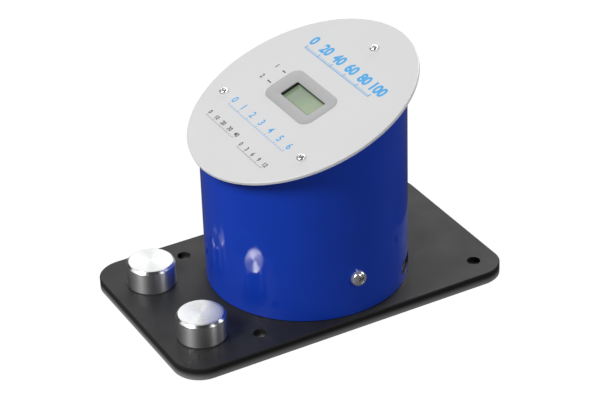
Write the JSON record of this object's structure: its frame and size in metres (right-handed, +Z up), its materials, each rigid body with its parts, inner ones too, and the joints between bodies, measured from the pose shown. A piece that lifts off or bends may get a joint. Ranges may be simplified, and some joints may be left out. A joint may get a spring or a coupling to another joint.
{
  "type": "torque tester",
  "caption": "Bench torque tester: a swivelling round display housing with a slanted oval face on a base plate with mounting holes and locating posts.",
  "frame": {"origin": "middle of the base plate's underside", "axes": "+Z up out of the base plate, +X along the plate's long side away from the posts and up the slope of the face, +Y to the back"},
  "size_m": [0.223, 0.139, 0.1503],
  "materials": {
    "black_plate": "satin black finish on a ground steel plate",
    "turned_steel": "turned and faced, fine rings on the top",
    "screw_steel": "plain zinc-plated steel",
    "hub_steel": "machined steel",
    "bearing_brass": "turned bearing bronze",
    "shaft_steel": "ground steel",
    "gauge_foil": "amber foil backing",
    "white_plastic": "low-friction bearing plastic",
    "black_rubber": "smooth rubber",
    "circuit_board": "green solder mask",
    "standoff_brass": "turned brass",
    "blue_paint": "smooth gloss blue",
    "ring_aluminium": "machined aluminium",
    "bright_screws": "bright plated steel",
    "face_panel": "satin silver front panel with plain printed marks",
    "bezel_grey": "satin grey moulding",
    "lcd_glass": "grey-green liquid crystal display",
    "black_plastic": "moulded black plastic",
    "connector_metal": "plated sheet metal shell"
  },
  "bodies": {
    "base": {"base_plate": "black_plate", "front_post": "turned_steel", "back_post": "turned_steel", "post_screws": "screw_steel", "hub": "hub_steel", "hub_screws": "screw_steel", "shaft_bush": "bearing_brass", "torque_shaft": "shaft_steel", "flange_screws": "screw_steel", "strain_gauges": "gauge_foil", "stop_pin": "screw_steel", "thrust_washer": "white_plastic", "friction_ring": "black_rubber", "amplifier_board": "circuit_board", "amplifier_standoffs": "standoff_brass", "amplifier_screws": "screw_steel"},
    "display_head": {"housing_tube": "blue_paint", "swivel_ring": "ring_aluminium", "side_screws": "bright_screws", "face_ring": "ring_aluminium", "face_plate": "face_panel", "face_screws": "bright_screws", "display_bezel": "bezel_grey", "lcd_panel": "lcd_glass", "lcd_frame": "black_plastic", "display_board": "circuit_board", "board_standoffs": "standoff_brass", "board_screws": "screw_steel", "connector": "black_plastic", "connector_shell": "connector_metal", "connector_bracket": "ring_aluminium", "bracket_screws": "screw_steel"}
  },
  "joints": [
    {"name": "housing_swivel", "type": "hinge", "parent": "base", "child": "display_head", "pos_m": [0.005, 0, 0.0334], "axis": [0, 0, 1], "range_deg": [-165, 165]}
  ]
}
